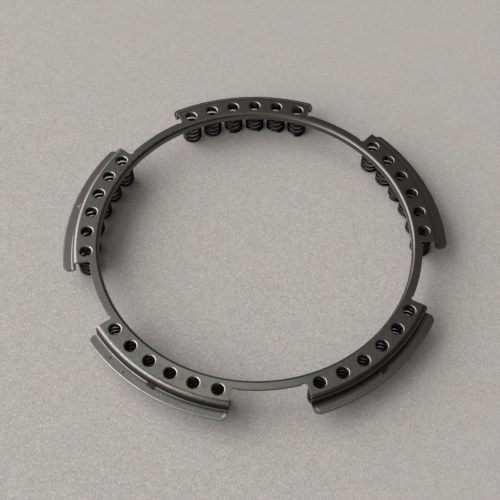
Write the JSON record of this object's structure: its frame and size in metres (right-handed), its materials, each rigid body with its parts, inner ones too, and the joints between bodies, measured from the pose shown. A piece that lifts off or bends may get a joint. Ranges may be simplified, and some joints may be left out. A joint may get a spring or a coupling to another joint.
{
  "type": "clutch return spring assembly",
  "caption": "Pressed steel ring with raised, flanged lobes that carry small coil springs on drawn collars, for pushing a clutch piston back.",
  "frame": {"origin": "on the ring's axis, in the plane on which the feet of the springs stand", "axes": "+Z along the ring's axis, from the springs' feet to the plate; +Y through the middle of the first lobe"},
  "size_m": [0.1832, 0.1805, 0.0158],
  "materials": {
    "pressed_steel": "bare pressed sheet, satin, slightly stained",
    "spring_wire": "oil-tempered, glossy black"
  },
  "bodies": {
    "root": {"retainer": "pressed_steel", "spring_a1": "spring_wire", "spring_a2": "spring_wire", "spring_a3": "spring_wire", "spring_a4": "spring_wire", "spring_a5": "spring_wire", "spring_a6": "spring_wire", "spring_b1": "spring_wire", "spring_b2": "spring_wire", "spring_b3": "spring_wire", "spring_b4": "spring_wire", "spring_b5": "spring_wire", "spring_b6": "spring_wire", "spring_c1": "spring_wire", "spring_c2": "spring_wire", "spring_c3": "spring_wire", "spring_c4": "spring_wire", "spring_c5": "spring_wire", "spring_c6": "spring_wire", "spring_d1": "spring_wire", "spring_d2": "spring_wire", "spring_d3": "spring_wire", "spring_d4": "spring_wire", "spring_d5": "spring_wire", "spring_d6": "spring_wire", "spring_e1": "spring_wire", "spring_e2": "spring_wire", "spring_e3": "spring_wire", "spring_e4": "spring_wire", "spring_e5": "spring_wire", "spring_e6": "spring_wire"}
  },
  "joints": []
}
